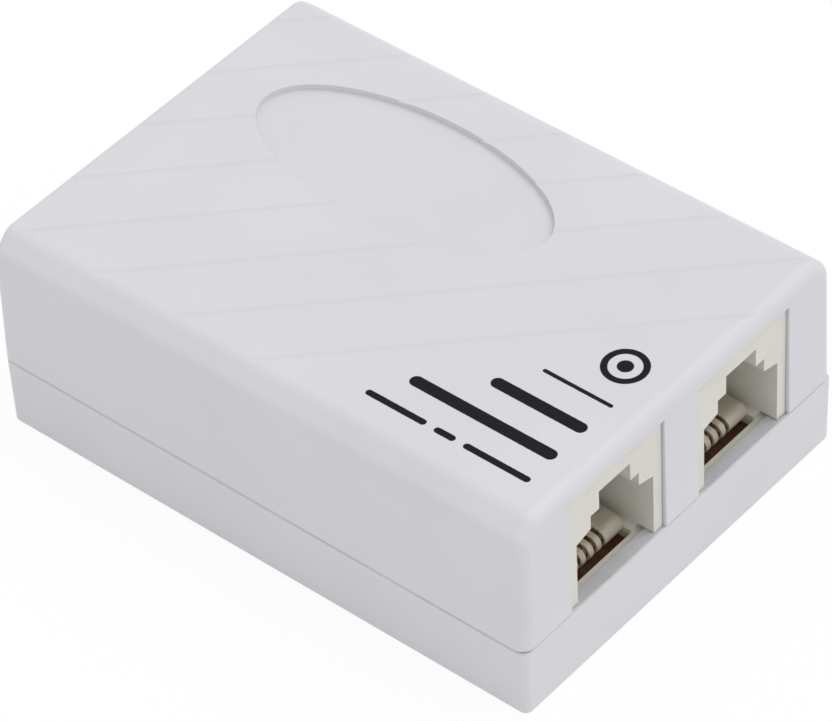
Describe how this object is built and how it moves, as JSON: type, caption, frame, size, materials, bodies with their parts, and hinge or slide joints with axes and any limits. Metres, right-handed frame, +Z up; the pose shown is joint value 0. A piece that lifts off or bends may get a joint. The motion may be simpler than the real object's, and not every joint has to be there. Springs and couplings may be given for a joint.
{
  "type": "line filter box",
  "caption": "Small white line filter box: a two-shell housing with modular jacks in its ends, and a board with coils and capacitors that separates speech from data on a telephone line.",
  "frame": {"origin": "centre of the bounding box on the housing's underside", "axes": "+X out of the end with two jacks, +Y to the side of the modem jack, +Z up through the grooved top"},
  "size_m": [0.057, 0.041, 0.0211],
  "materials": {
    "shell_plastic": "satin moulded white, faintly bluish",
    "jack_plastic": "moulded ivory white",
    "carrier_plastic": "moulded ivory white",
    "contact_gold": "gold flashed spring wire",
    "board_laminate": "tan paper laminate with a green mask underneath",
    "ferrite": "ground dark ferrite",
    "spool_plastic": "moulded black",
    "winding_wire": "enamelled copper wire",
    "capacitor_case": "glossy red film capacitor case",
    "resistor_coat": "lacquered tan coat with colour rings",
    "tinned_wire": "tinned wire",
    "screw_steel": "zinc plated steel"
  },
  "bodies": {
    "root": {"upper_housing": "shell_plastic", "lower_housing": "shell_plastic", "circuit_board": "board_laminate", "phone_jack_body": "jack_plastic", "modem_jack_body": "jack_plastic", "line_jack_body": "jack_plastic", "phone_contact_carrier": "carrier_plastic", "modem_contact_carrier": "carrier_plastic", "line_contact_carrier": "carrier_plastic", "phone_contacts": "contact_gold", "modem_contacts": "contact_gold", "line_contacts": "contact_gold", "first_coil_rear_core": "ferrite", "first_coil_front_core": "ferrite", "second_coil_rear_core": "ferrite", "second_coil_front_core": "ferrite", "first_coil_spool": "spool_plastic", "second_coil_spool": "spool_plastic", "first_coil_winding": "winding_wire", "second_coil_winding": "winding_wire", "coil_pins": "tinned_wire", "capacitor_leads": "tinned_wire", "resistor_leads": "tinned_wire", "line_capacitor": "capacitor_case", "phone_capacitor": "capacitor_case", "damping_resistors": "resistor_coat", "housing_screws": "screw_steel"}
  },
  "joints": []
}
